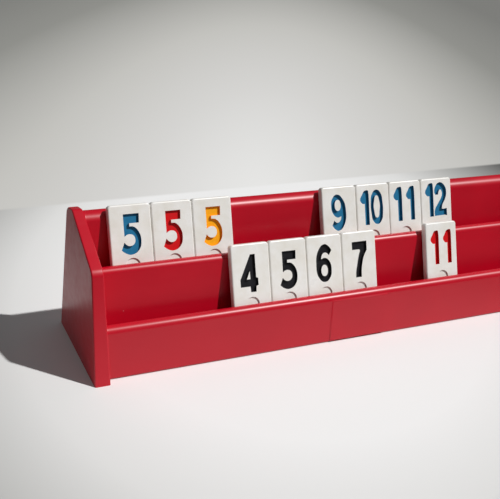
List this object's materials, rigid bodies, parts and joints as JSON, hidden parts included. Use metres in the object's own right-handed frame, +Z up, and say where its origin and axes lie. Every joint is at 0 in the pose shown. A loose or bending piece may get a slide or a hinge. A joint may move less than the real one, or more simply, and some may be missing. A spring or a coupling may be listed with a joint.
{
  "type": "two-tier tile rack",
  "caption": "Two-tier moulded tile rack with beaded walls, end panels and lift-out number tiles leaning in its slots.",
  "frame": {"origin": "on the table under the middle of the rack, at the centre of the overall box", "axes": "+X along the rack to the player's right, -Y towards the player, +Z up"},
  "size_m": [0.328, 0.0716, 0.0837],
  "materials": {
    "rack_plastic": "moulded satin gloss",
    "tile_plastic": "polished moulding"
  },
  "bodies": {
    "rack": {"rack_profile": "rack_plastic", "end_panel_left": "rack_plastic", "end_panel_right": "rack_plastic"},
    "tile_black_4": {"tile_black_4": "tile_plastic"},
    "tile_black_5": {"tile_black_5": "tile_plastic"},
    "tile_black_6": {"tile_black_6": "tile_plastic"},
    "tile_black_7": {"tile_black_7": "tile_plastic"},
    "tile_red_11": {"tile_red_11": "tile_plastic"},
    "tile_blue_5": {"tile_blue_5": "tile_plastic"},
    "tile_red_5": {"tile_red_5": "tile_plastic"},
    "tile_yellow_5": {"tile_yellow_5": "tile_plastic"},
    "tile_blue_9": {"tile_blue_9": "tile_plastic"},
    "tile_blue_10": {"tile_blue_10": "tile_plastic"},
    "tile_blue_11": {"tile_blue_11": "tile_plastic"},
    "tile_blue_12": {"tile_blue_12": "tile_plastic"}
  },
  "joints": [
    {"name": "lift_black_4", "type": "slide", "parent": "rack", "child": "tile_black_4", "axis": [0, 0.3616, 0.9323], "range_m": [0, 0.045]},
    {"name": "lift_black_5", "type": "slide", "parent": "rack", "child": "tile_black_5", "axis": [0, 0.3616, 0.9323], "range_m": [0, 0.045]},
    {"name": "lift_black_6", "type": "slide", "parent": "rack", "child": "tile_black_6", "axis": [0, 0.3616, 0.9323], "range_m": [0, 0.045]},
    {"name": "lift_black_7", "type": "slide", "parent": "rack", "child": "tile_black_7", "axis": [0, 0.3616, 0.9323], "range_m": [0, 0.045]},
    {"name": "lift_red_11", "type": "slide", "parent": "rack", "child": "tile_red_11", "axis": [0, 0.3616, 0.9323], "range_m": [0, 0.045]},
    {"name": "lift_blue_5", "type": "slide", "parent": "rack", "child": "tile_blue_5", "axis": [0, 0.3616, 0.9323], "range_m": [0, 0.045]},
    {"name": "lift_red_5", "type": "slide", "parent": "rack", "child": "tile_red_5", "axis": [0, 0.3616, 0.9323], "range_m": [0, 0.045]},
    {"name": "lift_yellow_5", "type": "slide", "parent": "rack", "child": "tile_yellow_5", "axis": [0, 0.3616, 0.9323], "range_m": [0, 0.045]},
    {"name": "lift_blue_9", "type": "slide", "parent": "rack", "child": "tile_blue_9", "axis": [0, 0.3616, 0.9323], "range_m": [0, 0.045]},
    {"name": "lift_blue_10", "type": "slide", "parent": "rack", "child": "tile_blue_10", "axis": [0, 0.3616, 0.9323], "range_m": [0, 0.045]},
    {"name": "lift_blue_11", "type": "slide", "parent": "rack", "child": "tile_blue_11", "axis": [0, 0.3616, 0.9323], "range_m": [0, 0.045]},
    {"name": "lift_blue_12", "type": "slide", "parent": "rack", "child": "tile_blue_12", "axis": [0, 0.3616, 0.9323], "range_m": [0, 0.045]}
  ]
}
